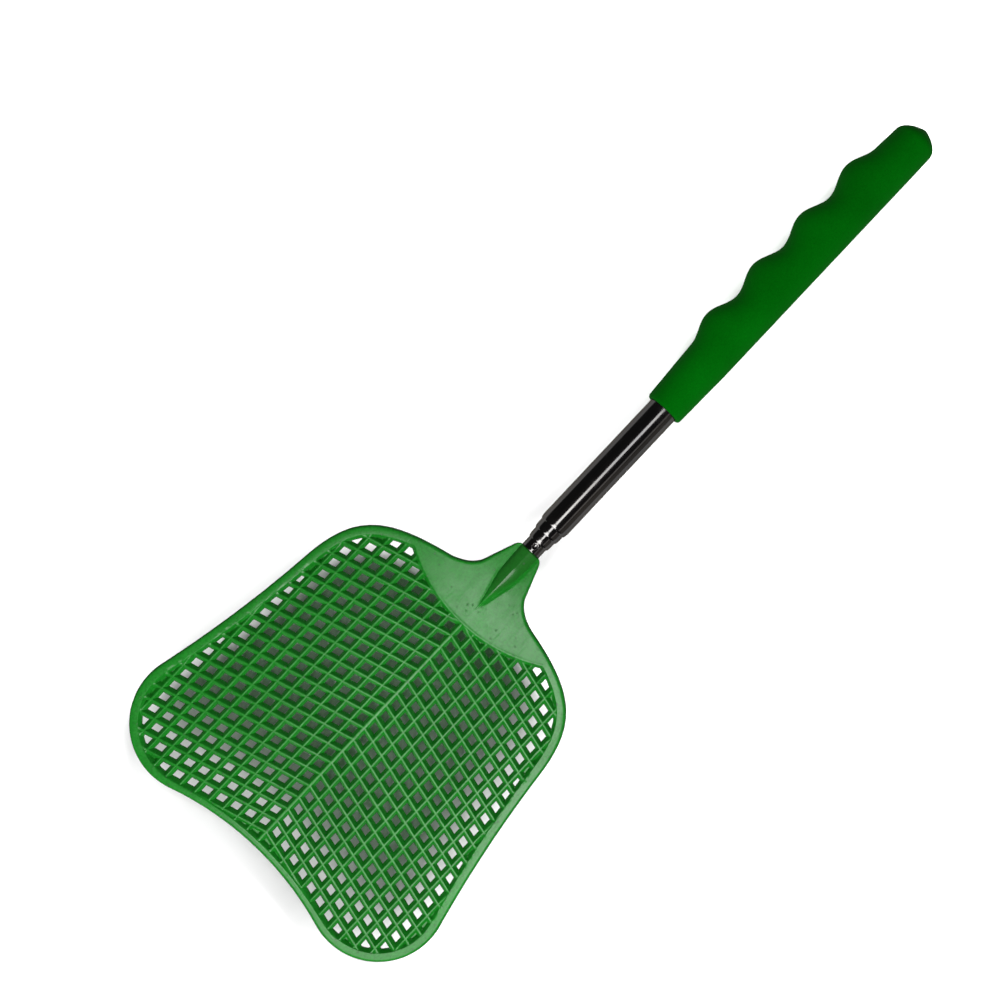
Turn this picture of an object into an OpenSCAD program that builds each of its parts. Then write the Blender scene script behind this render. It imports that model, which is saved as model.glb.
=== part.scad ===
// Telescopic fly swatter: a moulded mesh head on four nested tubes, with a foam grip.
// X runs along the tubes from the grip to the head's tip, Y across the head and Z up.
// The origin is under the middle of the closed swatter, on the surface that the grip lies on.
// The three inner tubes slide out along X, and each also turns in the next larger one.

/* [Overall] */
// Closed length, from the grip's end to the tips of the head's lobes
closed_length = 300; // [290:5:340]

/* [Head] */
// Length of the head, from the neck's face to the tips of its lobes
head_length = 126.9; // [124:0.1:130]
// Width of the head at its lobes
head_width = 116; // [112:1:120]
// Thickness of the rim and of the web at the mesh
rim_t = 2.4; // [2:0.1:3]
// Width of the rim
rim_w = 2.7; // [2.2:0.1:3.2]
// Radius of each lobe's corner
lobe_r = 21.4; // [19:0.1:23]
// Depth of the shallow notch between the lobes
notch_depth = 5.7; // [4.5:0.1:7]
// Slope of the sides where they run into the lobes, in degrees from the centre line
side_slope = 13.8; // [12:0.1:15]
// Distance along the centre line from the neck's face to the mesh
web_reach = 29.8; // [28:0.1:32]
// Radius of the arc where the web ends and the mesh starts
web_r = 51; // [46:1:56]
// Thickness of the neck at its face
neck_t = 4.2; // [3.6:0.1:5]
// Length of the spigot inside the thinnest tube
spigot_l = 12; // [8:0.5:16]

/* [Mesh] */
// Distance between ribs, along and across the head
cell_pitch = 4.76; // [4.6:0.01:5]
// Side of each opening
cell_hole = 2.5; // [2:0.1:3]
// Thickness of the ribs
mesh_t = 1.8; // [1.4:0.1:2]
// Slant of the cross ribs, in degrees, towards the tip on both sides
chevron = 14.8; // [12:0.1:18]

/* [Tubes] */
// Outside diameter of the largest tube
tube_d = 9.6; // [9.4:0.1:10]
// Step in diameter from one tube to the next
tube_step = 1; // [0.95:0.01:1.05]
// Wall of each tube
tube_wall = 0.3; // [0.28:0.01:0.32]
// How far each mouth stands out of the next larger tube's mouth when closed
mouth_step = 3.2; // [2.8:0.1:3.6]
// Length of each mouth's swage
swage_l = 2.3; // [1.8:0.1:2.6]
// Radial clearance of a tube in the next mouth
slide_gap = 0.05; // [0.03:0.01:0.08]
// Length of the shims' groove at the rear of each inner tube
groove_l = 8; // [6:0.5:10]
// Depth of the groove
groove_depth = 0.25; // [0.2:0.01:0.3]
// Diameter of the dimple that holds the head's spigot
dimple_d = 1.9; // [1.6:0.1:2.2]

/* [Grip] */
// Length of the grip
grip_l = 115; // [110:1:120]
// Height of the grip
grip_h = 13; // [12:0.1:14]
// Distance from the tubes' axis to the grip's straight back
grip_back = 6.6; // [6.2:0.1:7]
// Distance from the axis to the valleys between the finger swells
grip_front = 7.4; // [7:0.1:8]
// How far the finger swells rise above the valleys
swell = 2.9; // [2:0.1:3.2]
// Distance between finger swells
swell_pitch = 20.3; // [19:0.1:20.5]

/* [Hidden] */
$fn = 96;
swells = 4;           // finger swells on the grip
grip_rings = 64;
grip_sides = 28;
cone_rings = 7;       // of them, in the closed end
swell_start = 14;     // where the first swell rises, from the grip's end
cone_l = 5.6;         // length of the grip's closed end
tip_l = 0.12;         // length of cone left off at its point
ease_l = 20;          // length over which the grip narrows to its mouth
mouth_half = 6.15;    // half width of the grip at its mouth
grip_end_wall = 10.8; // foam behind the end plug

axis_z = grip_h / 2;
grip_x = -closed_length / 2;
neck_x = closed_length / 2 - head_length;

// Tubes are numbered from the largest. Each starts behind the next one's rear end.
lip_l = 1;        // flared rear end behind the shims
shoulder_l = 1.2; // length in which the groove runs out
plug_flange = 1.2;
plug_spigot = 2;
end_gap = 0.3;
tube_1_rear = grip_x + grip_end_wall + plug_flange;
function outer_r(i) = (tube_d - (i - 1) * tube_step) / 2;
function bore_r(i) = outer_r(i) - tube_wall;
function mouth_x(i) = neck_x - (4 - i) * mouth_step;
function rear_x(i) = i == 1 ? tube_1_rear
    : tube_1_rear + plug_spigot + end_gap + (i - 2) * (lip_l + groove_l + shoulder_l + end_gap);
groove_gap = 0.03; // clearance round each shim

// The head's outline, on one side of the centre line, from the neck's face.
neck_corner = [0.8, 4.7];
neck_root = [11, 8.5];
throat_corner = [15.7, 10.2];
throat_end = [17.3, 17.4];
shoulder_corner = [23.5, 45.6];
shoulder_end = [46.9, 48.1];
neck_face_half = 3.7;
boss_r = 3.6;      // of the boss at the neck, a little over tube 4's
boss_l = 7;        // straight part of the boss
boss_corner = [3.3, 13.5];
boss_point = 24.2; // where the boss runs into the web
lobe_x = head_length - lobe_r;
lobe_y = head_width / 2 - lobe_r;
notch_run = lobe_r - notch_depth;
notch_r = (pow(lobe_y, 2) + pow(notch_run, 2) - pow(lobe_r, 2)) / (2 * notch_depth);
notch_x = head_length - notch_depth + notch_r;
notch_angle = atan(lobe_y / (notch_r + notch_run));

// The dimple's ball stands this far off the tube, and its centre this far behind mid-step.
dimple_sink = 0.75;
dimple_back = 0.35;
// The swage's outside starts to round here, and its lip is this thick, both from the mouth.
swage_bend = 0.9;
swage_lip = 0.15;
neck_thinning = 0.3; // on each side, from the face to where the neck widens
flat_web_l = 2;      // length of web at full rim thickness, next to the mesh

// Points on an arc about c, from angle a0 to angle a1.
function arc(c, r, a0, a1, n) =
    [for (i = [0:n]) let (a = a0 + (a1 - a0) * i / n) c + r * [cos(a), sin(a)]];

// A smooth bend from a to b that leaves and arrives along the lines to the corner.
// A larger pull brings it closer to the corner.
function bend(a, corner, b, pull, n) =
    let (p = a + pull * (corner - a), q = b + pull * (corner - b))
    [for (i = [0:n]) let (t = i / n, s = 1 - t)
        s * s * s * a + 3 * s * s * t * p + 3 * s * t * t * q + t * t * t * b];

lobe_start = [lobe_x, lobe_y] + lobe_r * [-sin(side_slope), cos(side_slope)];
side_corner = lobe_start - (lobe_start[0] - shoulder_end[0]) / 2 * [1, tan(side_slope)];

half_outline = concat(
    [[0, neck_face_half], neck_corner],
    bend(neck_root, throat_corner, throat_end, 0.6, 8),
    bend(throat_end, shoulder_corner, shoulder_end, 0.78, 16),
    bend(shoulder_end, side_corner, lobe_start, 0.67, 8),
    arc([lobe_x, lobe_y], lobe_r, 90 + side_slope, 90, 3),
    arc([lobe_x, lobe_y], lobe_r, 90, 0, 14),
    arc([lobe_x, lobe_y], lobe_r, 0, -notch_angle, 3),
    arc([notch_x, 0], notch_r, 180 - notch_angle, 180, 10)
);

// Drops each point that repeats the one before it.
function distinct(p) = [for (i = [0:len(p) - 1]) if (i == 0 || norm(p[i] - p[i - 1]) > 0.01) p[i]];
function mirrored(p) = concat(p, [for (i = [len(p) - 2:-1:0]) [p[i][0], -p[i][1]]]);
outline = mirrored(distinct(half_outline));

// The outline moved inwards by w, along the normal at each point.
function inset(p, w) =
    [for (i = [0:len(p) - 1])
        let (t = p[(i + 1) % len(p)] - p[(i + len(p) - 1) % len(p)])
        p[i] + w * [t[1], -t[0]] / norm(t)];

// True where q lies inside the closed outline p.
function inside(q, p) =
    let (hits = [for (i = [0:len(p) - 1])
        let (a = p[i], b = p[(i + 1) % len(p)])
        if ((a[1] > q[1]) != (b[1] > q[1])
            && q[0] < (b[0] - a[0]) * (q[1] - a[1]) / (b[1] - a[1]) + a[0]) 1])
    len(hits) % 2 == 1;

hole_margin = 0.8; // openings are left out where their centres are this near the mesh's edge
mesh_edge = inset(outline, rim_w);
hole_limit = inset(outline, rim_w + hole_margin);
web_centre = [web_reach - web_r, 0];

// The grip's half widths at a distance s from its closed end.
function closing(s) = s < cone_l ? 1 - pow(1 - s / cone_l, 2) : 1;
function mouth_ease(s) = max(0, (s - grip_l + ease_l) / ease_l);
function ring_s(i) = i < cone_rings ? cone_l * i / cone_rings
    : cone_l + (grip_l - cone_l) * (i - cone_rings) / (grip_rings - cone_rings);
function back_half(s) = closing(s) * (grip_back + (mouth_half - grip_back) * mouth_ease(s));
function front_half(s) =
    let (turn = (s - swell_start) / swell_pitch)
    closing(s) * (turn < 0 ? grip_back + (grip_front - grip_back) * s / swell_start
        : turn < swells ? grip_front + swell / 2 * (1 - cos(360 * turn))
        : grip_front + (mouth_half - grip_front) * mouth_ease(s));
function height_half(s) = closing(s) * (grip_h / 2 + (mouth_half - grip_h / 2) * mouth_ease(s));

// A solid of revolution about the tubes' axis. Its profile holds [x, radius] pairs.
module turned(profile) {
    translate([0, 0, axis_z])
        rotate([0, 90, 0])
            rotate_extrude()
                polygon([for (p = profile) [p[1], p[0]]]);
}

module rod(x0, x1, r) {
    translate([x0, 0, axis_z])
        rotate([0, 90, 0])
            cylinder(h = x1 - x0, r = r);
}

module dimple(extra = 0) {
    translate([neck_x - mouth_step / 2 - dimple_back, 0, axis_z + outer_r(4) + dimple_sink])
        sphere(r = norm([dimple_d / 2, dimple_sink]) + extra);
}

module hole(column, row, side) {
    y = (row + 0.5) * cell_pitch;
    x = web_reach + (column + 0.5) * cell_pitch + y * tan(chevron);
    h = cell_hole / 2;
    slant = h * tan(chevron);
    if (inside([x, y], hole_limit) && norm([x, y] - web_centre) > web_r + hole_margin)
        polygon([
            [x - h - slant, side * (y - h)], [x + h - slant, side * (y - h)],
            [x + h + slant, side * (y + h)], [x - h + slant, side * (y + h)]
        ]);
}

module mesh_field() {
    difference() {
        polygon(mesh_edge);
        translate(web_centre)
            circle(r = web_r);
    }
}

module holes() {
    rows = floor(head_width / 2 / cell_pitch);
    columns = floor(head_length / cell_pitch);
    intersection() {
        mesh_field();
        for (side = [-1, 1], row = [0:rows], column = [-4 - row:columns])
            hole(column, row, side);
    }
}

// The rim and the web: the outline without the mesh.
module rim_and_web() {
    difference() {
        polygon(outline);
        mesh_field();
    }
}

module plate(t) {
    translate([0, 0, -t / 2])
        linear_extrude(t)
            children();
}

// The neck is thickest at its face and thins to the rim's thickness at the mesh.
module neck() {
    end_x = web_reach - flat_web_l;
    root_half = neck_t / 2 - neck_thinning;
    side_view = [
        [0, neck_t / 2], [neck_root[0], root_half], [end_x, rim_t / 2],
        [end_x, -rim_t / 2], [neck_root[0], -root_half], [0, -neck_t / 2]
    ];
    intersection() {
        plate(2 * neck_t)
            rim_and_web();
        rotate([90, 0, 0])
            linear_extrude(head_width, center = true)
                polygon(side_view);
    }
}

module boss() {
    profile = concat(
        [[0, 0], [boss_r, 0]],
        bend([boss_r, boss_l], boss_corner, [rim_t / 2, boss_point], 0.6, 10),
        [[0, boss_point]]
    );
    rotate([0, 90, 0])
        rotate_extrude()
            polygon(profile);
}

module swatter_head() {
    color([0.24, 0.6, 0.25])
        difference() {
            union() {
                translate([neck_x, 0, axis_z]) {
                    plate(rim_t)
                        rim_and_web();
                    plate(mesh_t)
                        difference() {
                            polygon(inset(outline, rim_w / 2));
                            holes();
                        }
                    neck();
                    boss();
                }
                rod(neck_x - spigot_l, neck_x + 1, bore_r(4));
            }
            dimple(tube_wall);
        }
}

// A tube with a swaged mouth. Inner tubes have a groove for their shims at the rear.
module tube(i) {
    x0 = rear_x(i);
    x1 = mouth_x(i);
    r = outer_r(i);
    b = bore_r(i);
    fit = outer_r(i + 1) + slide_gap;
    g = groove_depth;
    g0 = x0 + lip_l;
    g1 = g0 + groove_l;
    ramp = 0.3; // length over which a wall turns in or out
    body_x = g1 + shoulder_l;
    rear_outside = i == 1 ? [[x0, r]]
        : [[x0, r], [g0, r], [g0, r - g], [g1, r - g], [g1, r], [body_x, r]];
    rear_inside = i == 1 ? [[x0, b]]
        : [[body_x, b], [g1 + ramp, b - g], [g0 - ramp, b - g], [x0, b - g]];
    mouth = i == 4 ? [[x1, r], [x1, b]]
        : concat(
            bend([x1 - swage_l, r], [x1 - swage_bend, r], [x1 - swage_lip, fit + swage_lip], 0.6, 6),
            [[x1, fit + swage_lip / 2], [x1, fit], [x1 - swage_l + ramp, fit], [x1 - swage_l - ramp, b]]
        );
    turned(concat(rear_outside, mouth, rear_inside));
}

module tube_1() {
    color([0.16, 0.16, 0.16])
        tube(1);
}

module tube_2() {
    color([0.2, 0.19, 0.18])
        tube(2);
}

module tube_3() {
    color([0.24, 0.23, 0.22])
        tube(3);
}

// The dimple pushes the wall inwards, so the bore gains what the outside loses.
module tube_4() {
    color([0.28, 0.27, 0.26])
        difference() {
            union() {
                tube(4);
                intersection() {
                    dimple(tube_wall);
                    rod(neck_x - mouth_step, neck_x, bore_r(4) + tube_wall / 2);
                }
            }
            dimple();
        }
}

// One of the two half-round shims in the groove of tube i.
module shim(i, side) {
    split = 0.5;
    x0 = rear_x(i) + lip_l + groove_gap;
    x1 = x0 + groove_l - 2 * groove_gap;
    r = bore_r(i - 1) - groove_gap;
    color([0.72, 0.5, 0.28])
        difference() {
            rod(x0, x1, r);
            rod(x0 - 1, x1 + 1, outer_r(i) - groove_depth + groove_gap);
            translate([x0 - 1, side > 0 ? -2 * r + split / 2 : -split / 2, 0])
                cube([x1 - x0 + 2, 2 * r, 2 * axis_z]);
        }
}

module end_plug() {
    color([0.1, 0.1, 0.1])
        union() {
            rod(tube_1_rear - plug_flange, tube_1_rear, outer_r(1));
            rod(tube_1_rear - plug_flange, tube_1_rear + plug_spigot, bore_r(1));
        }
}

// The foam sleeve: oval rings from its closed end to its mouth, with a round blind bore.
module grip() {
    step = 360 / grip_sides;
    rings = [for (i = [0:grip_rings])
        let (s = max(ring_s(i), tip_l), x = grip_x + ring_s(i))
        let (mid = (back_half(s) - front_half(s)) / 2, half = (back_half(s) + front_half(s)) / 2)
        for (j = [0:grip_sides - 1])
            [x, mid + half * cos(j * step), axis_z + height_half(s) * sin(j * step)]];
    walls = [for (i = [0:grip_rings - 1], j = [0:grip_sides - 1])
        let (a = i * grip_sides + j, b = i * grip_sides + (j + 1) % grip_sides)
        each [[a, b, b + grip_sides], [a, b + grip_sides, a + grip_sides]]];
    closed_end = [[for (j = [grip_sides - 1:-1:0]) j]];
    mouth_end = [[for (j = [0:grip_sides - 1]) grip_rings * grip_sides + j]];
    color([0.0, 0.32, 0.08])
        difference() {
            polyhedron(points = rings, faces = concat(walls, closed_end, mouth_end));
            rod(tube_1_rear - plug_flange, grip_x + grip_l + 1, outer_r(1));
        }
}

swatter_head();
tube_1();
tube_2();
tube_3();
tube_4();
shim(2, 1);  // shim_2_left
shim(2, -1);  // shim_2_right
shim(3, 1);  // shim_3_left
shim(3, -1);  // shim_3_right
shim(4, 1);  // shim_4_left
shim(4, -1);  // shim_4_right
end_plug();
grip();
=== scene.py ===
"""The looks of a telescopic fly swatter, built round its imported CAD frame.

X runs along the tubes to the head's tip, Y across the head and Z up. Sizes are in millimetres
here and in metres in Blender. The camera looks straight down on the swatter.
"""

import math

import bpy
import numpy as np
from mathutils import Matrix, Vector
from mathutils.geometry import delaunay_2d_cdt


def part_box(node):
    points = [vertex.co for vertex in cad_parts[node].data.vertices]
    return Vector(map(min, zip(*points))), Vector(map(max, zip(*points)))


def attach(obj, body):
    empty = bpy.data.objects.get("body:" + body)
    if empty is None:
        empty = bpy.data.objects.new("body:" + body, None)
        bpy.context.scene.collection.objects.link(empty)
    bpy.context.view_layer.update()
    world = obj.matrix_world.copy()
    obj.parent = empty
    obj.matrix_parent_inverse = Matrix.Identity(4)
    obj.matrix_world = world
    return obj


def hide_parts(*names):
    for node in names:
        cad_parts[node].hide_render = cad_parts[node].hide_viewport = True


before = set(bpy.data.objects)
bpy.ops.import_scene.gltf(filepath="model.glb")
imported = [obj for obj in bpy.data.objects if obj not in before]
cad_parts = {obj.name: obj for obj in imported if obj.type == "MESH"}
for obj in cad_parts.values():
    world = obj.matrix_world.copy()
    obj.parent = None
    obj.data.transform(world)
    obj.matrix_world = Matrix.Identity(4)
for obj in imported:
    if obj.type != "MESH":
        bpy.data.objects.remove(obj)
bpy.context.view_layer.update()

MM = 0.001

# ---------------------------------------------------------------- sizes, as in the CAD

HEAD_LENGTH = 126.9
HEAD_WIDTH = 116.0
RIM_HALF = 1.2            # half thickness of the rim and of the web at the mesh
RIM_W = 2.7
NOTCH_RIM_W = 2.1         # the rim is narrower along the notch
LOBE_R = 21.4
NOTCH_DEPTH = 5.7
SIDE_SLOPE = math.radians(13.8)
WEB_REACH = 29.8
WEB_R = 51.0
NECK_HALF = 2.1
SPIGOT_L = 12.0
CELL_PITCH = 4.76
CHEVRON = math.radians(14.8)
RIB_HALF = 0.9            # half height of the ribs
NECK_CORNER = (0.8, 4.7)
NECK_ROOT = (11.0, 8.5)
THROAT_CORNER = (15.7, 10.2)
THROAT_END = (17.3, 17.4)
SHOULDER_CORNER = (23.5, 45.6)
SHOULDER_END = (46.9, 48.1)
NECK_FACE_HALF = 3.7
BOSS_R = 3.6
BOSS_L = 7.0
BOSS_CORNER = (3.3, 13.5)
BOSS_POINT = 24.2
FLAT_WEB_L = 2.0
NECK_THINNING = 0.3
HOLE_MARGIN = 0.8
NOTCH_FADE = (20, HEAD_WIDTH / 2 - LOBE_R + 8)   # off the centre line, where it widens again

TUBE_D = 9.6
TUBE_STEP = 1.0
TUBE_WALL = 0.3
MOUTH_STEP = 3.2
SWAGE_L = 2.3
SLIDE_GAP = 0.05
GROOVE_L = 8.0
GROOVE_DEPTH = 0.25
LIP_L = 1.0
SHOULDER_L = 1.2
DIMPLE_HALF = 0.95
DIMPLE_SINK = 0.75
DIMPLE_BACK = 0.35

CONE_L = 5.6
EASE_L = 20.0
MOUTH_HALF = 6.15
SWELLS = 4
SWELL_START = 14.0
SWELL_PITCH = 20.3
SWELL = 2.9
GRIP_BACK = 6.6
GRIP_FRONT = 7.4
BORE_START = 9.7          # from the grip's closed end, a little behind the end plug

head_low, head_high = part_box("swatter_head")
grip_low, grip_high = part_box("grip")
AXIS_Z = (head_low.z + head_high.z) / 2 / MM
NECK_X = head_high.x / MM - HEAD_LENGTH
GRIP_X = grip_low.x / MM
GRIP_L = (grip_high.x - grip_low.x) / MM
GRIP_HALF = (grip_high.z - grip_low.z) / 2 / MM


# ---------------------------------------------------------------- camera

VIEW_ANGLE = math.radians(133.26)  # of the swatter's axis, clockwise from the picture's right
VIEW_CENTRE = (18.2, -17.1)        # what lies under the middle of the picture
VIEW_WIDTH = 300.0
LENS = 50.0
SENSOR = 36.0


def make_camera():
    data = bpy.data.cameras.new("camera")
    data.lens = LENS
    data.sensor_width = SENSOR
    data.clip_start = 0.01
    data.clip_end = 50
    camera = bpy.data.objects.new("camera", data)
    bpy.context.scene.collection.objects.link(camera)
    height = VIEW_WIDTH * LENS / SENSOR
    c, s = math.cos(VIEW_ANGLE), math.sin(VIEW_ANGLE)
    right, up = Vector((c, s, 0)), Vector((-s, c, 0))
    rotation = Matrix((right, up, right.cross(up))).transposed().to_4x4()
    place = Vector((*VIEW_CENTRE, AXIS_Z + height)) * MM
    camera.matrix_world = Matrix.Translation(place) @ rotation
    bpy.context.scene.camera = camera


# ---------------------------------------------------------------- curves in the plane

def unit(v):
    return v / np.linalg.norm(v, axis=-1, keepdims=True)


def bend(a, corner, b, pull, n):
    """A smooth bend from a to b along the lines to the corner, as in the CAD."""
    a, corner, b = (np.array(p, float) for p in (a, corner, b))
    p, q = a + pull * (corner - a), b + pull * (corner - b)
    t = np.linspace(0, 1, n + 1)[:, None]
    s = 1 - t
    return s**3 * a + 3 * s**2 * t * p + 3 * s * t**2 * q + t**3 * b


def arc(centre, r, start, end, n):
    t = np.linspace(start, end, n + 1)
    return np.array(centre) + r * np.column_stack([np.cos(t), np.sin(t)])


def smooth_step(x, low, high):
    t = np.clip((x - low) / (high - low), 0, 1)
    return t * t * (3 - 2 * t)


def distance_to(points, line):
    """Distance from each point to the closed polyline."""
    spans = np.roll(line, -1, axis=0) - line
    best = np.full(len(points), np.inf)
    for a, span in zip(line, spans):
        t = np.clip(((points - a) @ span) / (span @ span), 0, 1)
        gap = points - a - t[:, None] * span
        best = np.minimum(best, np.hypot(gap[:, 0], gap[:, 1]))
    return best


def inside(points, line):
    """True for each point within the closed polyline."""
    hit = np.zeros(len(points), bool)
    for a, b in zip(line, np.roll(line, -1, axis=0)):
        spans = (a[1] > points[:, 1]) != (b[1] > points[:, 1])
        if a[1] != b[1]:
            x = (b[0] - a[0]) * (points[:, 1] - a[1]) / (b[1] - a[1]) + a[0]
            hit ^= spans & (points[:, 0] < x)
    return hit


# ---------------------------------------------------------------- the head's plan

def head_outline():
    """The head's outline from the neck's face, as the CAD draws it but finer."""
    lobe = np.array([HEAD_LENGTH - LOBE_R, HEAD_WIDTH / 2 - LOBE_R])
    run = LOBE_R - NOTCH_DEPTH
    notch_r = (lobe[1] ** 2 + run**2 - LOBE_R**2) / (2 * NOTCH_DEPTH)
    notch_angle = math.atan(lobe[1] / (notch_r + run))
    notch = (HEAD_LENGTH - NOTCH_DEPTH + notch_r, 0)
    start = lobe + LOBE_R * np.array([-math.sin(SIDE_SLOPE), math.cos(SIDE_SLOPE)])
    side_corner = start - (start[0] - SHOULDER_END[0]) / 2 * np.array([1, math.tan(SIDE_SLOPE)])
    quarter = math.pi / 2
    half = np.concatenate([
        [[0, NECK_FACE_HALF - 0.35], [0.12, NECK_FACE_HALF]],
        bend((0.35, 4.0), NECK_CORNER, (1.9, 5.08), 0.6, 5),
        bend(NECK_ROOT, THROAT_CORNER, THROAT_END, 0.6, 14),
        bend(THROAT_END, SHOULDER_CORNER, SHOULDER_END, 0.78, 56)[1:],
        bend(SHOULDER_END, side_corner, start, 0.67, 56)[1:],
        arc(lobe, LOBE_R, quarter + SIDE_SLOPE, quarter, 6)[1:],
        arc(lobe, LOBE_R, quarter, 0, 44)[1:],
        arc(lobe, LOBE_R, 0, -notch_angle, 8)[1:],
        arc(notch, notch_r, math.pi - notch_angle, math.pi, 34)[1:],
    ])
    return np.concatenate([half, half[-2::-1] * [1, -1]])


def inset(line, w):
    """The outline moved inwards by w along the normal at each point."""
    along = np.roll(line, -1, axis=0) - np.roll(line, 1, axis=0)
    normal = unit(np.column_stack([along[:, 1], -along[:, 0]]))
    return line + np.reshape(w, (-1, 1)) * normal


outline = head_outline()
web_centre = np.array([WEB_REACH - WEB_R, 0])
at_notch = 1 - smooth_step(abs(outline[:, 1]), *NOTCH_FADE)
at_notch *= outline[:, 0] > HEAD_LENGTH / 2
rim_width = RIM_W + (NOTCH_RIM_W - RIM_W) * at_notch
rim_edge = inset(outline, rim_width)
hole_limit = inset(outline, np.full(len(outline), RIM_W + HOLE_MARGIN))

# Heights of a face over the mid-plane, against the distance from a rib's centre line and from
# the edges of the rim and the web. The mould parts low on the ribs, so the front's walls are
# tall and steep and the back's are shallow.
LAND_FRONT = -0.75
LAND_BACK = 0.8
RIB_STEPS = (0, 0.2, 0.31, 0.95, 1.22)
RIB_DROPS = (0, 0.03, 0.11, 0.66, 1.0)
BANK_STEPS = (0, 0.12, 0.26, 0.85, 1.1)
BANK_DROPS = (0, 0.03, 0.11, 0.7, 1.0)
CENTRE_RIB = 0.17         # how much wider the centre rib is, on each side
CROSS_RIB = 0.06          # and the cross ribs
BEAD = 0.32               # half width of the bead along the web's edge
BEAD_RISE = 0.015
EDGE_STEPS = (0, 0.06, 0.15, 0.3, 0.45, 0.62, 0.82, 1.05)   # in from the outline
EDGE_DROPS = (1.05, 0.88, 0.67, 0.36, 0.15, 0.05, 0.012, 0)
# The boss's half width on the web, against the distance from the neck's face.
BOSS_FOOT = ((0, 3.35), (4, 3.25), (9, 3.05), (10.6, 2.88), (12.9, 2.42), (15.2, 1.86),
             (18, 1.2), (21, 0.56), (24.2, 0))
BOSS_ROUND = 1.32         # 2 is a round boss, and less gives it a crest
CREST = 0.05              # crown of the rim
GROOVE = 0.13             # depth of the groove along the boss's foot
GROOVE_HALF = 0.42

# Where the surface is split for triangles: in from the outline, in from the web's edge in half
# widths of the bead, across the boss in shares of its foot, and out from the boss's foot.
RIM_LINES = (1.3, 1.75)
RIM_CROWN = 0.62
BEAD_LINES = (4.5, 3, 2.2, 1.7, 1, 0.4)
BOSS_SHARES = (0, 0.025, 0.07, 0.15, 0.28, 0.45, 0.65, 0.8, 0.92, 1.0)
FOOT_GAPS = (0.14, 0.3, 0.5, 0.8, 1.15)
WEB_GRID = 1.3


def edge_scale(x):
    """How rounded the outline's edges are: hardly at the neck's face."""
    return 0.12 + 0.88 * smooth_step(x, 0, 4)


def boss_profile():
    curve = bend((BOSS_R, BOSS_L), BOSS_CORNER, (RIM_HALF, BOSS_POINT), 0.6, 30)
    x = np.concatenate([[0], curve[:, 1], [BOSS_POINT + 0.3]])
    return x, np.concatenate([[BOSS_R], curve[:, 0], [0.9]])


def boss_radius(x):
    xs, rs = boss_profile()
    return np.interp(x, xs, rs, right=0)


def web_height(x):
    root = NECK_HALF - NECK_THINNING
    flat = WEB_REACH - FLAT_WEB_L
    return np.interp(x, [0, NECK_ROOT[0] - 2, NECK_ROOT[0] + 2, flat - 3, flat + 1],
                     [NECK_HALF, root + 0.07, root - 0.06, RIM_HALF + 0.09, RIM_HALF])


def rib_gap(p):
    """Distance to the nearest rib's centre line."""
    x, y = p[:, 0], abs(p[:, 1])
    row = np.abs(y - CELL_PITCH * np.round(y / CELL_PITCH))
    row = np.where(y < CELL_PITCH / 2, y - CENTRE_RIB, row)
    along = x - WEB_REACH - y * math.tan(CHEVRON)
    column = np.abs(along - CELL_PITCH * np.round(along / CELL_PITCH)) * math.cos(CHEVRON)
    return np.minimum(row, column - CROSS_RIB)


def boss_foot(x):
    """Half width of the boss where it meets the web."""
    return np.interp(x, *zip(*BOSS_FOOT))


def head_height(p, land):
    """Height of a face of the head over its mid-plane at each point."""
    x, y = p[:, 0], p[:, 1]
    edge = distance_to(p, outline)
    edge[~inside(p, outline)] = 0
    web_gap = np.hypot(*(p - web_centre).T) - WEB_R
    rim_gap = distance_to(p, rim_edge)
    in_rim = inside(p, rim_edge)
    rim_gap[~in_rim] *= -1
    base = web_height(x)
    crown = np.clip(edge / RIM_W * 2 - 1, -1, 1) ** 2
    base = base - CREST * crown * smooth_step(web_gap, 0, 1.5) * (edge < RIM_W)
    bead = np.clip(1 - ((web_gap + BEAD) / BEAD) ** 2, 0, 1) * smooth_step(rim_gap, -0.5, 0.5)
    base = base + BEAD_RISE * bead
    gap = np.minimum(rim_gap, web_gap)
    bank = base - (base - land) * np.interp(gap, BANK_STEPS, BANK_DROPS)
    rib = RIB_HALF - (RIB_HALF - land) * np.interp(rib_gap(p), RIB_STEPS, RIB_DROPS)
    z = np.where(gap > 0, np.maximum(bank, rib), base)
    foot = boss_foot(x)
    off = (abs(y) - foot) / GROOVE_HALF
    z = z - GROOVE * np.exp(-off * off) * smooth_step(foot, 0.2, 0.8) * (x < BOSS_POINT)
    off = np.clip(abs(y) / np.maximum(foot, 0.01), 0, 1)
    rise = np.clip(boss_radius(x) - base, 0, None) * (x < BOSS_POINT)
    z = z + rise * np.sqrt(1 - off**BOSS_ROUND)
    scale = edge_scale(x)
    return z - scale * np.interp(edge / scale, EDGE_STEPS, EDGE_DROPS)


class Plan:
    """Points and lines that the head's surface is triangulated on."""

    def __init__(self):
        self.points = []
        self.edges = []

    def line(self, points, closed=False):
        first = len(self.points)
        self.points += [Vector((float(x), float(y))) for x, y in points]
        last = len(self.points) - 1
        self.edges += [(i, i + 1) for i in range(first, last)]
        if closed:
            self.edges.append((last, first))

    def dots(self, points):
        self.points += [Vector((float(x), float(y))) for x, y in points]


def runs(points, keep):
    """The stretches of a polyline whose points are kept."""
    found, run = [], []
    for point, kept in zip(points, keep):
        if kept:
            run.append(point)
        elif run:
            found.append(run)
            run = []
    if run:
        found.append(run)
    return [r for r in found if len(r) > 1]


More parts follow.
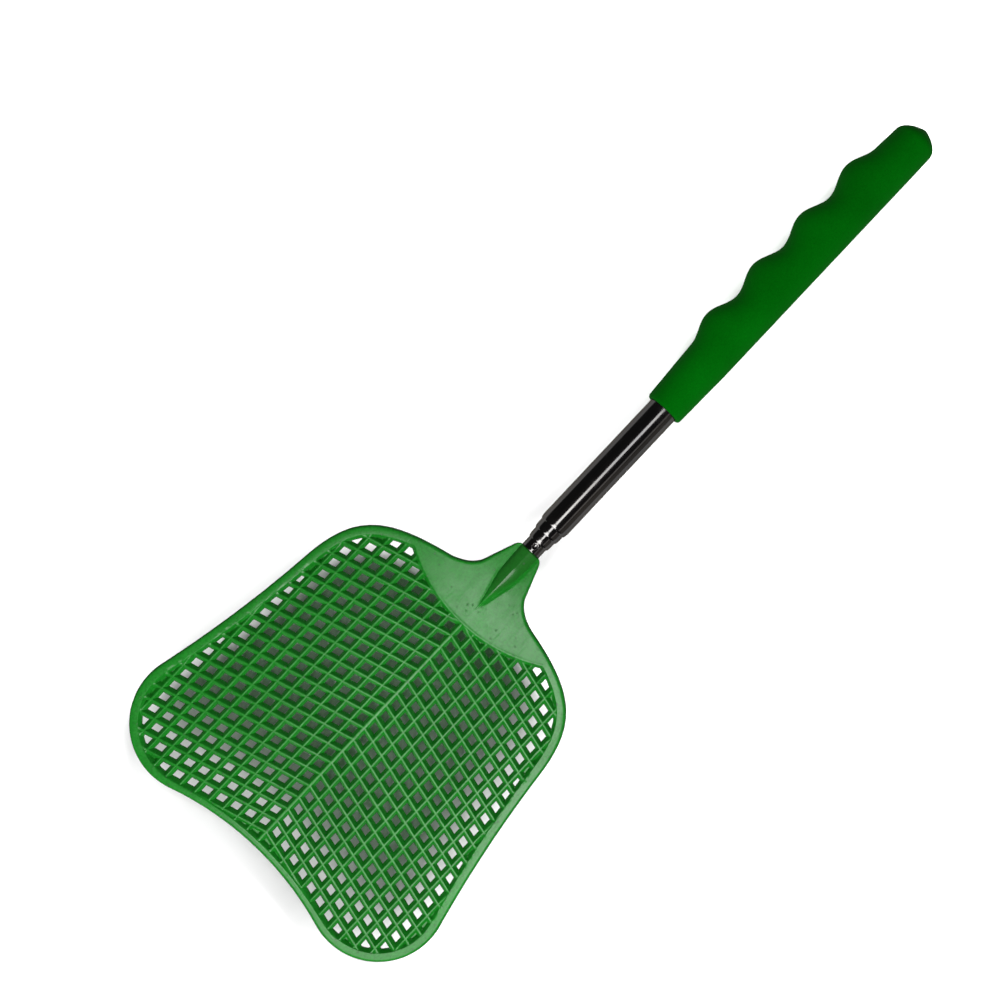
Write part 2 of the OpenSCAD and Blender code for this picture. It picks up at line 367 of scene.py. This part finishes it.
def cells():
    """Each mesh cell as (column, row, side), and whether it's open."""
    rows = int(HEAD_WIDTH / 2 / CELL_PITCH) + 1
    columns = int(HEAD_LENGTH / CELL_PITCH)
    every = [(c, r, s) for s in (1, -1) for r in range(rows) for c in range(-5 - r, columns)]
    centres = np.array([cell_point(c, r, s, 0.5, 0.5) for c, r, s in every])
    web_gap = np.hypot(*(centres - web_centre).T) - WEB_R
    opened = inside(centres, hole_limit) & (web_gap > HOLE_MARGIN)
    near = (inside(centres, outline) | (distance_to(centres, outline) < CELL_PITCH))
    near &= web_gap > -CELL_PITCH
    return [(cell, bool(o)) for cell, o, n in zip(every, opened, near) if n]


def cell_point(column, row, side, a, b):
    """A point in a cell, a along the head and b away from the centre line, both from 0 to 1."""
    y = (row + b) * CELL_PITCH
    return WEB_REACH + (column + a) * CELL_PITCH + y * math.tan(CHEVRON), side * y


def cell_ring(cell, step):
    """The parallelogram in a cell at one distance from its ribs' centre lines."""
    column, row, side = cell
    low = row * CELL_PITCH + step + (CENTRE_RIB if row == 0 else 0)
    high = (row + 1) * CELL_PITCH - step
    shift = (step + (CROSS_RIB if step > 0 else 0)) / math.cos(CHEVRON)
    left = WEB_REACH + column * CELL_PITCH + shift
    right = left + CELL_PITCH - 2 * shift
    slant = math.tan(CHEVRON)
    return [(left + low * slant, side * low), (right + low * slant, side * low),
            (right + high * slant, side * high), (left + high * slant, side * high)]


def plan_head(found):
    """The lines on which the head's face is split, round its edges, ribs, web and boss."""
    plan = Plan()
    for step in (*EDGE_STEPS, *RIM_LINES):
        plan.line(inset(outline, step * edge_scale(outline[:, 0])), closed=True)
    web_gap = np.hypot(*(rim_edge - web_centre).T) - WEB_R
    plan.line(inset(outline, rim_width * RIM_CROWN)[web_gap > -3])
    for step in BANK_STEPS:
        line = inset(outline, rim_width + step)
        for run in runs(line, web_gap > -2):
            plan.line(run)
    for step in (*(-BEAD * line for line in BEAD_LINES), *BANK_STEPS):
        line = arc(web_centre, WEB_R + step, -math.pi / 4, math.pi / 4, 150)
        for run in runs(line, inside(line, inset(outline, rim_width - 0.9))):
            plan.line(run)
    for cell, _ in found:
        ring_0 = cell_ring(cell, RIB_STEPS[0])
        plan.line(ring_0, closed=True)
        for step in RIB_STEPS[1:]:
            plan.line(cell_ring(cell, step), closed=True)
        for a, b in zip(ring_0, cell_ring(cell, RIB_STEPS[-1])):
            plan.line([a, b])
    plan_boss(plan)
    half = 35 * WEB_GRID
    x, y = np.meshgrid(np.arange(0.8, WEB_REACH, WEB_GRID), np.arange(-half, half + 0.5, WEB_GRID))
    grid = np.column_stack([x.ravel(), y.ravel()])
    clear = inside(grid, inset(outline, np.full(len(outline), 2.3)))
    clear &= np.hypot(*(grid - web_centre).T) < WEB_R - 2.2
    clear &= abs(grid[:, 1]) > boss_radius(grid[:, 0]) + 1.4
    plan.dots(grid[clear])
    return plan


def plan_boss(plan):
    """Lines along the boss, closest where it meets the web."""
    x = np.concatenate([[0.3], np.arange(1, BOSS_POINT, 0.6)])
    foot = boss_foot(x)
    for share in BOSS_SHARES:
        for side in (1, -1) if share else (1,):
            points = np.column_stack([x, side * share * foot])
            for run in runs(points, foot > 0.25):
                plan.line(run)
    for side in (1, -1):
        for gap in FOOT_GAPS:
            points = np.column_stack([x, side * (foot + gap * smooth_step(foot, 0, 0.8))])
            for run in runs(points, foot > 0.3):
                plan.line(run)


def make_mesh(name, points, faces, material, angle=32):
    """A smooth mesh object from points in millimetres, with creases where it turns sharply."""
    mesh = bpy.data.meshes.new(name)
    mesh.from_pydata([tuple(p) for p in np.array(points) * MM], [], faces)
    mesh.validate()
    mesh.shade_smooth()
    mesh.set_sharp_from_angle(angle=math.radians(angle))
    mesh.materials.append(material)
    piece = bpy.data.objects.new(name, mesh)
    bpy.context.scene.collection.objects.link(piece)
    return piece


def head_faces():
    """Points and faces of the head's plate: two mirrored surfaces, joined at every edge."""
    found = cells()
    plan = plan_head(found)
    flat, _, triangles, _, _, _ = delaunay_2d_cdt(plan.points, plan.edges, [], 0, 1e-4)
    p = np.array([tuple(v) for v in flat])
    triangles = np.array([t for t in triangles if len(t) == 3])
    middle = p[triangles].mean(axis=1)
    a, b, c = (p[triangles[:, i]] for i in range(3))
    area = np.cross(b - a, c - a)
    triangles[area < 0] = triangles[area < 0][:, ::-1]
    keep = inside(middle, outline) & (abs(area) > 1e-7)
    is_open = {cell: o for cell, o in found}
    slant = abs(middle[:, 1]) * math.tan(CHEVRON)
    rows = np.floor(abs(middle[:, 1]) / CELL_PITCH).astype(int)
    columns = np.floor((middle[:, 0] - WEB_REACH - slant) / CELL_PITCH).astype(int)
    sides = np.where(middle[:, 1] > 0, 1, -1)
    opened = np.array([is_open.get((c, r, s), False) for c, r, s in zip(columns, rows, sides)])
    web_gap = np.hypot(*(middle - web_centre).T) - WEB_R
    bank_gap = np.minimum(web_gap, distance_to(middle, rim_edge))
    clear = (rib_gap(middle) > RIB_STEPS[-1]) & (bank_gap > BANK_STEPS[-1])
    clear &= inside(middle, rim_edge)
    triangles = triangles[keep & ~(opened & clear)]
    used = np.unique(triangles)
    index = np.full(len(p), -1)
    index[used] = np.arange(len(used))
    p, triangles = p[used], index[triangles]
    n = len(p)
    points = np.concatenate([np.column_stack([p, head_height(p, LAND_FRONT)]),
                             np.column_stack([p, -head_height(p, LAND_BACK)])])
    faces = [tuple(t) for t in triangles] + [tuple(t[::-1] + n) for t in triangles]
    sides_seen = dict.fromkeys((t[i], t[(i + 1) % 3]) for t in triangles for i in range(3))
    for i, j in sides_seen:
        if (j, i) not in sides_seen:
            faces += [(i, i + n, j + n, j)]
    return points, faces


# ---------------------------------------------------------------- solids of revolution

def lathe(profile, turns, axis_z, closed=True):
    """Points and faces of a closed profile of (x, radius) pairs turned about the tubes' axis."""
    angles = np.linspace(0, 2 * math.pi, turns, endpoint=False)
    points = [(x, r * math.cos(a), axis_z + r * math.sin(a)) for x, r in profile for a in angles]
    faces = []
    count = len(profile)
    for i in range(count if closed else count - 1):
        j = (i + 1) % count
        for k in range(turns):
            m = (k + 1) % turns
            faces.append((i * turns + k, j * turns + k, j * turns + m, i * turns + m))
    if not closed:
        faces.append(tuple(range(turns)))
        faces.append(tuple((count - 1) * turns + k for k in reversed(range(turns))))
    return np.array(points), faces


def outer_r(i):
    return (TUBE_D - (i - 1) * TUBE_STEP) / 2


def bore_r(i):
    return outer_r(i) - TUBE_WALL


def mouth_x(i):
    return NECK_X - (4 - i) * MOUTH_STEP


def fine(points, step):
    """The same profile with points no further apart than a step along its long straight runs."""
    dense = [points[0]]
    for a, b in zip(points[:-1], points[1:]):
        n = max(1, int(math.hypot(b[0] - a[0], b[1] - a[1]) / step))
        dense += [(a[0] + (b[0] - a[0]) * k / n, a[1] + (b[1] - a[1]) * k / n)
                  for k in range(1, n + 1)]
    return dense


def tube_profile(i, x0):
    """A tube's section, from its rear end along the outside to the mouth and back inside."""
    x1, r, b = mouth_x(i), outer_r(i), bore_r(i)
    g = GROOVE_DEPTH
    g0, g1 = x0 + LIP_L, x0 + LIP_L + GROOVE_L
    if i == 1:
        rear_out, rear_in = [(x0, r)], [(x0, b)]
    else:
        rear_out = [(x0, r - 0.08), (x0 + 0.08, r), (g0 - 0.06, r), (g0, r - 0.06), (g0, r - g),
                    (g1, r - g), (g1, r - 0.06), (g1 + 0.06, r), (g1 + SHOULDER_L, r)]
        rear_in = [(g1 + SHOULDER_L, b), (g1 + 0.3, b - g), (g0 - 0.3, b - g), (x0, b - g)]
    if i == 4:
        mouth = [(x1 - 0.12, r), (x1 - 0.03, r - 0.04), (x1, r - 0.12), (x1, b)]
    else:
        fit = outer_r(i + 1) + SLIDE_GAP
        swage = bend((x1 - SWAGE_L, r), (x1 - 1.0, r), (x1 - 0.3, fit + 0.22), 0.6, 14)
        mouth = [tuple(p) for p in swage]
        mouth += [(x1 - 0.2, fit + 0.16), (x1 - 0.08, fit + 0.06), (x1, fit + 0.02),
                  (x1 - 0.05, fit), (x1 - SWAGE_L + 0.3, fit), (x1 - SWAGE_L - 0.3, b)]
    return fine(rear_out + mouth, 4.0) + rear_in


def dimple_pit(points):
    """The punched dimple: points near it pushed down under a ball."""
    centre_x = NECK_X - MOUTH_STEP / 2 - DIMPLE_BACK
    centre_z = AXIS_Z + outer_r(4) + DIMPLE_SINK
    ball = math.hypot(DIMPLE_HALF, DIMPLE_SINK)
    moved = points.copy()
    flat = np.hypot(points[:, 0] - centre_x, points[:, 1])
    near = (flat < ball) & (points[:, 2] > AXIS_Z)
    depth = centre_z - np.sqrt(np.clip(ball**2 - flat**2, 0, None))
    wall = outer_r(4) - np.hypot(points[:, 1], points[:, 2] - AXIS_Z)
    moved[near, 2] = np.minimum(points[near, 2], depth[near] - wall[near])
    return moved


# ---------------------------------------------------------------- the grip

def grip_half_widths(s):
    closing = np.where(s < CONE_L, 1 - (1 - np.minimum(s, CONE_L) / CONE_L) ** 2, 1)
    ease = np.clip((s - GRIP_L + EASE_L) / EASE_L, 0, None)
    back = closing * (GRIP_BACK + (MOUTH_HALF - GRIP_BACK) * ease)
    turn = (s - SWELL_START) / SWELL_PITCH
    front = np.where(turn < 0, GRIP_BACK + (GRIP_FRONT - GRIP_BACK) * s / SWELL_START,
                     np.where(turn < SWELLS,
                              GRIP_FRONT + SWELL / 2 * (1 - np.cos(2 * math.pi * turn)),
                              GRIP_FRONT + (MOUTH_HALF - GRIP_FRONT) * ease))
    height = closing * (GRIP_HALF + (MOUTH_HALF - GRIP_HALF) * ease)
    return back, closing * front, height


def grip_mesh(rings=240, sides=96):
    """The foam sleeve: oval rings outside, a rounded mouth and a round bore."""
    s = np.concatenate([CONE_L * np.linspace(0, 1, 24, endpoint=False) ** 1.4,
                        np.linspace(CONE_L, GRIP_L - 1.0, rings)])
    s[0] = 0.004
    back, front, height = grip_half_widths(s)
    angle = np.linspace(0, 2 * math.pi, sides, endpoint=False)
    rows = [(GRIP_X + x, (b - f) / 2, (b + f) / 2, h) for x, b, f, h in zip(s, back, front, height)]
    # The mouth rolls in from the outside to the bore.
    bore = outer_r(1)
    last_back, last_front, last_height = (v[-1] for v in (back, front, height))
    for turn in np.linspace(0.15, 1, 8) * math.pi / 2:
        drop = (1 - math.cos(turn)) * 0.75
        rows.append((GRIP_X + GRIP_L - 1.0 + math.sin(turn), (last_back - last_front) / 2,
                     (last_back + last_front) / 2 - drop, last_height - drop))
    rows.append((GRIP_X + GRIP_L, 0, bore + 0.2, bore + 0.2))
    rows.append((GRIP_X + GRIP_L - 0.15, 0, bore + 0.05, bore + 0.05))
    rows.append((GRIP_X + BORE_START, 0, bore + 0.05, bore + 0.05))
    points = [(x, mid + half * math.cos(a), AXIS_Z + h * math.sin(a))
              for x, mid, half, h in rows for a in angle]
    faces = []
    for i in range(len(rows) - 1):
        for k in range(sides):
            m = (k + 1) % sides
            faces.append((i * sides + k, i * sides + m, (i + 1) * sides + m, (i + 1) * sides + k))
    faces.append(tuple(reversed(range(sides))))
    faces.append(tuple((len(rows) - 1) * sides + k for k in range(sides)))
    return np.array(points), [f[::-1] for f in faces]


# ---------------------------------------------------------------- materials

class Shader:
    """A small helper that builds one material's nodes."""

    def __init__(self, name, **sockets):
        self.material = bpy.data.materials.new(name)
        self.material.use_nodes = True
        self.nodes = self.material.node_tree.nodes
        self.links = self.material.node_tree.links
        self.bsdf = self.nodes["Principled BSDF"]
        for socket, value in sockets.items():
            self.bsdf.inputs[socket.replace("_", " ")].default_value = value
        self.place = self.nodes.new("ShaderNodeTexCoord").outputs["Object"]

    def node(self, kind, inputs=None, **settings):
        made = self.nodes.new("ShaderNode" + kind)
        for key, value in settings.items():
            setattr(made, key, value)
        for key, value in (inputs or {}).items():
            if isinstance(value, bpy.types.NodeSocket):
                self.links.new(value, made.inputs[key])
            else:
                made.inputs[key].default_value = value
        return made

    def scaled(self, scale, place=None):
        return self.node("Mapping", {"Vector": place or self.place, "Scale": scale}).outputs[0]

    def noise(self, scale, detail=3, roughness=0.5, place=None):
        return self.node("TexNoise", {"Vector": place or self.place, "Scale": scale,
                                      "Detail": detail, "Roughness": roughness}).outputs["Fac"]

    def ramp(self, fac, stops):
        ramp = self.node("ValToRGB", {"Fac": fac})
        ramp.color_ramp.elements[0].position, ramp.color_ramp.elements[1].position = 0, 1
        elements = ramp.color_ramp.elements
        while len(elements) < len(stops):
            elements.new(0.5)
        for element, (position, value) in zip(elements, stops):
            element.position = position
            element.color = (*value, 1) if isinstance(value, tuple) else (value, value, value, 1)
        return ramp.outputs["Color"]

    def math(self, operation, a, b=0.0):
        return self.node("Math", {0: a, 1: b}, operation=operation).outputs[0]

    def mix(self, fac, a, b, blend="MIX"):
        made = self.node("Mix", data_type="RGBA", blend_type=blend)
        for socket, value in ((0, fac), (6, a), (7, b)):
            if isinstance(value, bpy.types.NodeSocket):
                self.links.new(value, made.inputs[socket])
            else:
                made.inputs[socket].default_value = value if socket == 0 else (*value, 1)
        return made.outputs[2]

    def set(self, socket, value):
        self.links.new(value, self.bsdf.inputs[socket])

    def bump(self, height, distance, strength=1.0, under=None):
        inputs = {"Height": height, "Distance": distance, "Strength": strength}
        if under:
            inputs["Normal"] = under
        made = self.node("Bump", inputs).outputs["Normal"]
        self.links.new(made, self.bsdf.inputs["Normal"])
        return made


def head_plastic():
    """Glossy moulded polyethylene: flow marks, fine mottling, a few specks and light scuffs."""
    shader = Shader("head_plastic", Roughness=0.22, IOR=1.49)
    flow = shader.noise(90, 5, 0.6, shader.scaled((0.4, 1, 1)))
    colour = shader.ramp(flow, [(0.3, (0.012, 0.245, 0.017)), (0.7, (0.017, 0.305, 0.024))])
    mottle = shader.ramp(shader.noise(1400, 3, 0.7), [(0.36, 0.74), (0.6, 1.0)])
    colour = shader.mix(1.0, colour, mottle, "MULTIPLY")
    dots = shader.node("TexVoronoi", {"Vector": shader.place, "Scale": 480}).outputs["Distance"]
    rare = shader.ramp(shader.noise(260, 2), [(0.48, 0.0), (0.54, 1.0)])
    speck = shader.math("MULTIPLY", shader.ramp(dots, [(0.14, 1.0), (0.26, 0.0)]), rare)
    colour = shader.mix(shader.math("MULTIPLY", speck, 0.6), colour, (0.006, 0.09, 0.008))
    # Painted shade: the raised boss is darkened, partly for the deeper colour of thick plastic and
    # partly as painted shade on its flanks.
    height = shader.node("SeparateXYZ", {"Vector": shader.place}).outputs["Z"]
    thick = shader.node("MapRange", {"Value": height, "From Min": (AXIS_Z + 1.9) * MM,
                                     "From Max": (AXIS_Z + 2.7) * MM}).outputs["Result"]
    deep_tone_and_shade = shader.math("MULTIPLY", thick, 0.6)
    colour = shader.mix(deep_tone_and_shade, colour, (0.016, 0.1, 0.013))
    shader.set("Base Color", colour)
    scuffs = shader.noise(60, 4, 0.6, shader.scaled((1, 22, 22)))
    dull = shader.ramp(scuffs, [(0.5, 0.0), (0.75, 0.12)])
    gloss = shader.ramp(shader.noise(320, 4), [(0.3, 0.14), (0.75, 0.22)])
    rough = shader.math("ADD", gloss, dull)
    shader.set("Roughness", shader.math("ADD", rough, shader.math("MULTIPLY", speck, 0.16)))
    waves = shader.bump(shader.noise(140, 2), 0.00006, 0.35)
    shader.bump(shader.noise(2600, 3), 0.00002, 0.4, waves)
    return shader.material


def dark_steel():
    """Black-chromed drawn steel: lines along the tube, smudges and a faint brown cast."""
    shader = Shader("dark_steel", Metallic=1.0, Roughness=0.12,
                    Specular_Tint=(0.5, 0.48, 0.45, 1))
    cast = shader.ramp(shader.noise(45, 4), [(0.3, (0.078, 0.078, 0.080)),
                                            (0.7, (0.104, 0.099, 0.092))])
    lines = shader.noise(1.0, 4, 0.6, shader.scaled((60, 5200, 5200)))
    cast = shader.mix(1.0, cast, shader.ramp(lines, [(0.3, 0.9), (0.7, 1.0)]), "MULTIPLY")
    shader.set("Base Color", cast)
    smudge = shader.ramp(shader.noise(160, 5, 0.65), [(0.5, 0.0), (0.72, 0.1)])
    drawn = shader.ramp(lines, [(0.3, 0.09), (0.7, 0.16)])
    shader.set("Roughness", shader.math("ADD", drawn, smudge))
    shader.bump(lines, 0.000002, 0.15)
    return shader.material


def grip_foam():
    """Closed-cell foam rubber: a fine pebbled skin with small pores and cloudy colour."""
    shader = Shader("grip_foam", Roughness=0.85, Specular_IOR_Level=0.05)
    cloud = shader.noise(55, 4, 0.6)
    colour = shader.ramp(cloud, [(0.3, (0.0003, 0.110, 0.0022)), (0.7, (0.0005, 0.134, 0.0029))])
    grain = shader.noise(2200, 3, 0.7)
    colour = shader.mix(1.0, colour, shader.ramp(grain, [(0.32, 0.8), (0.68, 1.0)]), "MULTIPLY")
    cell = shader.node("TexVoronoi", {"Vector": shader.place, "Scale": 2400}).outputs["Distance"]
    # Painted shade: the foam's pores are darkened as shade inside them.
    pore_shade = shader.ramp(cell, [(0.08, 1.0), (0.3, 0.0)])
    colour = shader.mix(shader.math("MULTIPLY", pore_shade, 0.35), colour, (0.0002, 0.05, 0.001))
    shader.set("Base Color", colour)
    shader.set("Roughness", shader.ramp(grain, [(0.3, 0.78), (0.7, 0.95)]))
    skin = shader.bump(cell, 0.00008, 0.35)
    shader.bump(shader.noise(900, 3), 0.00008, 0.3, skin)
    return shader.material


def spring_bronze():
    """Rolled phosphor bronze strip with a little tarnish."""
    shader = Shader("spring_bronze", Metallic=1.0, Roughness=0.3)
    tarnish = shader.ramp(shader.noise(500, 4), [(0.35, (0.62, 0.36, 0.15)),
                                                (0.7, (0.42, 0.22, 0.09))])
    rolled = shader.noise(1.0, 3, 0.6, shader.scaled((150, 7000, 7000)))
    shader.set("Base Color", shader.mix(1.0, tarnish, shader.ramp(rolled, [(0.3, 0.8), (0.7, 1)]),
                                        "MULTIPLY"))
    shader.set("Roughness", shader.ramp(rolled, [(0.3, 0.22), (0.7, 0.38)]))
    shader.bump(rolled, 0.000005, 0.4)
    return shader.material


def plug_plastic():
    """Matt black moulded plastic with spark-eroded grain."""
    shader = Shader("plug_plastic", Roughness=0.5)
    grain = shader.noise(3200, 4, 0.7)
    shader.set("Base Color", shader.ramp(shader.noise(300, 3), [(0.3, (0.010, 0.010, 0.011)),
                                                               (0.7, (0.019, 0.018, 0.018))]))
    shader.set("Roughness", shader.ramp(grain, [(0.3, 0.42), (0.7, 0.62)]))
    shader.bump(grain, 0.00003, 0.5)
    return shader.material


# ---------------------------------------------------------------- pieces

def make_head(material):
    points, faces = head_faces()
    points[:, 0] += NECK_X
    points[:, 2] += AXIS_Z
    r = bore_r(4)
    spigot = [(NECK_X - SPIGOT_L, 0.4), (NECK_X - SPIGOT_L, r - 0.3), (NECK_X - SPIGOT_L + 0.3, r),
              *[(NECK_X - MOUTH_STEP + 0.16 * k, r) for k in range(20)], (NECK_X + 0.3, r),
              (NECK_X + 0.3, 0.4)]
    more, more_faces = lathe(spigot, 96, AXIS_Z, closed=False)
    more = dimple_pit(more)
    faces += [tuple(i + len(points) for i in f) for f in more_faces]
    head = make_mesh("swatter_head_shell", np.concatenate([points, more]), faces, material)
    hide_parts("swatter_head")
    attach(head, "section_4")


def finer_at_dimple(profile):
    """The same closed profile with 22 more points along each run that passes the dimple."""
    dense = []
    for a, b in zip(profile, profile[1:] + profile[:1]):
        dense.append(a)
        low, high = sorted((a[0], b[0]))
        if high - low > 1 and high > NECK_X - 1:
            xs = np.linspace(max(NECK_X - MOUTH_STEP, low), high, 24)[1:-1]
            xs = xs if b[0] > a[0] else xs[::-1]
            dense += [(x, a[1] + (b[1] - a[1]) * (x - a[0]) / (b[0] - a[0])) for x in xs]
    return dense


def make_tubes(material):
    bodies = ("handle", "section_2", "section_3", "section_4")
    for i, body in enumerate(bodies, 1):
        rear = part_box(f"tube_{i}")[0].x / MM
        profile = tube_profile(i, rear)
        if i == 4:
            profile = finer_at_dimple(profile)
        points, faces = lathe(profile, 160, AXIS_Z)
        if i == 4:
            points = dimple_pit(points)
        tube = make_mesh(f"tube_{i}_drawn", points, faces, material, 30)
        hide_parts(f"tube_{i}")
        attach(tube, body)


def make_grip(material):
    points, faces = grip_mesh()
    grip = make_mesh("foam_grip", points, faces, material, 60)
    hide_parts("grip")
    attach(grip, "handle")


def finish_cad_nodes(bronze, plug):
    for name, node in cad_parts.items():
        if name.startswith("shim") or name == "end_plug":
            node.data.materials.clear()
            node.data.materials.append(plug if name == "end_plug" else bronze)


# ---------------------------------------------------------------- studio

def area_light(name, place, size, radiance, aim=None, glossy=True, receivers=None,
               colour=(1, 1, 1)):
    """A rectangular light, facing straight down unless it's aimed, that lights the receivers."""
    data = bpy.data.lights.new(name, "AREA")
    data.shape = "RECTANGLE"
    data.size, data.size_y = (v * MM for v in size)
    data.energy = radiance * math.pi * data.size * data.size_y
    data.color = colour
    light = bpy.data.objects.new(name, data)
    light.location = Vector(place) * MM
    aim = Vector(aim if aim else (place[0], place[1], 0)) * MM
    back = (light.location - aim).normalized()
    side = Vector((1, 0, 0)) if abs(back.x) < 0.6 else Vector((0, 1, 0))
    side = (side - side.dot(back) * back).normalized()
    light.rotation_euler = Matrix((side, back.cross(side), back)).transposed().to_euler()
    light.visible_camera = False
    light.visible_glossy = glossy
    bpy.context.scene.collection.objects.link(light)
    if receivers:
        group = bpy.data.collections.new(name + "_receivers")
        for piece in receivers:
            group.objects.link(piece)
        light.light_linking.receiver_collection = group


FLOOR_HALF = 0.9          # half width of the floor, in metres
FLOOR_ALBEDO = 0.9
BACKGROUND = 1.0          # the plain surroundings as the camera sees them
ROOM_LEVEL = 0.05         # and as the pieces see them, beyond the lights

# Boxes overhead that face straight down, for the steel and then for the head:
# (name, place, size, radiance). The tip boxes widen towards the tips, so the highlight flares
# where a tube's mouth closes in.
STEEL_BOXES = (
    ("tube_box", (0, 16, 423), (225, 112), 6.0),
    ("mouth_box", (24, 16, 422), (80, 90), 4.0),
    ("tip_box_112", (151, 16, 423), (78, 170), 12.0),
    ("tip_box_190", (235, 16, 423), (90, 270), 12.0),
    ("tip_box_280", (335, 16, 423), (110, 390), 12.0),
    ("tip_box_390", (455, 16, 423), (130, 480), 12.0),
)
HEAD_BOXES = (
    ("web_box", (140, 108, 423), (112, 250), 5.0),
    ("lobe_box", (270, 114, 423), (148, 240), 2.7),
)

# The floor's own slanting lights, from all round, so little of them comes through the mesh:
# (azimuth, tilt from the vertical, share of the floor's brightness).
FLOOR_LIGHTS = ((15, 74, 0.37), (95, 67, 0.44), (155, 62, 0.48), (205, 58, 0.74), (268, 54, 0.2))
FLOOR_PANEL = (900, 400)
FLOOR_REACH = 1500


def make_floor():
    mesh = bpy.data.meshes.new("floor")
    s = FLOOR_HALF
    mesh.from_pydata([(-s, -s, 0), (s, -s, 0), (s, s, 0), (-s, s, 0)], [], [(0, 1, 2, 3)])
    floor = bpy.data.objects.new("floor", mesh)
    shader = Shader("floor_paper", Roughness=0.9)
    shader.set("Base Color", shader.ramp(shader.noise(4, 2), [(0.3, (0.89,) * 3),
                                                            (0.7, (FLOOR_ALBEDO,) * 3)]))
    mesh.materials.append(shader.material)
    floor.visible_diffuse = floor.visible_glossy = floor.visible_shadow = False
    bpy.context.scene.collection.objects.link(floor)
    return floor


def make_world():
    world = bpy.data.worlds.new("studio")
    world.use_nodes = True
    tree = world.node_tree
    seen = tree.nodes.new("ShaderNodeLightPath").outputs["Is Camera Ray"]
    level = tree.nodes.new("ShaderNodeMapRange")
    level.inputs["To Min"].default_value = ROOM_LEVEL
    level.inputs["To Max"].default_value = BACKGROUND
    tree.links.new(seen, level.inputs["Value"])
    tree.nodes["Background"].inputs["Color"].default_value = (1, 1, 1, 1)
    tree.links.new(level.outputs["Result"], tree.nodes["Background"].inputs["Strength"])
    bpy.context.scene.world = world
    bpy.context.scene.view_settings.view_transform = "Standard"


def light_pieces(pieces):
    """The lights over the pieces, each for the pieces that it suits."""
    head = [o for o in pieces if o.name == "swatter_head_shell"]
    grip = [o for o in pieces if o.name == "foam_grip"]
    others = [o for o in pieces if o not in head]
    steel = [o for o in others if o not in grip]
    for box in STEEL_BOXES:
        area_light(*box, receivers=steel)
    area_light("tip_card", (560, 20, 200), (160, 240), 8.0, aim=(0, 0, 0), receivers=steel)
    area_light("grip_fill", (120, 70, 500), (300, 300), 7.0, glossy=False, receivers=grip)
    for box in HEAD_BOXES:
        area_light(*box, receivers=head)
    area_light("lobe_fill", (420, 60, 420), (300, 300), 2.1, aim=(120, 0, 0), glossy=False,
               receivers=head)
    area_light("top_fill", (240, 270, 520), (400, 400), 4.5, aim=(20, 0, 0), glossy=False,
               receivers=pieces)
    area_light("side_card", (10, 420, 330), (400, 90), 0.8, aim=(10, 0, 0), receivers=others,
               colour=(1, 0.96, 0.9))
    area_light("low_card", (10, 600, 165), (400, 330), 0.24, aim=(10, 0, 165), receivers=others,
               colour=(1, 0.92, 0.8))
    # The pieces see a duller floor than the camera does, so their edges stay dark.
    for name, radiance, receivers in (("glow_head", 0.1, head), ("glow_others", 0.9, others)):
        area_light(name, (0, 0, -1), (700, 500), radiance, aim=(0, 0, 10), receivers=receivers)


def light_floor(floor):
    for azimuth, tilt, share in FLOOR_LIGHTS:
        a, t = math.radians(azimuth), math.radians(tilt)
        place = (FLOOR_REACH * math.sin(t) * math.cos(a), FLOOR_REACH * math.sin(t) * math.sin(a),
                 FLOOR_REACH * math.cos(t))
        panel = FLOOR_ALBEDO * FLOOR_PANEL[0] * FLOOR_PANEL[1] * math.cos(t)
        radiance = share * math.pi * FLOOR_REACH**2 / panel
        area_light(f"floor_light_{azimuth}", place, FLOOR_PANEL, radiance, aim=(0, 0, 0),
                   glossy=False, receivers=[floor])


make_camera()
steel, plastic, foam = dark_steel(), head_plastic(), grip_foam()
make_head(plastic)
make_tubes(steel)
make_grip(foam)
finish_cad_nodes(spring_bronze(), plug_plastic())
pieces = [o for o in bpy.context.scene.objects if o.type == "MESH"]
floor = make_floor()
make_world()
light_pieces(pieces)
light_floor(floor)
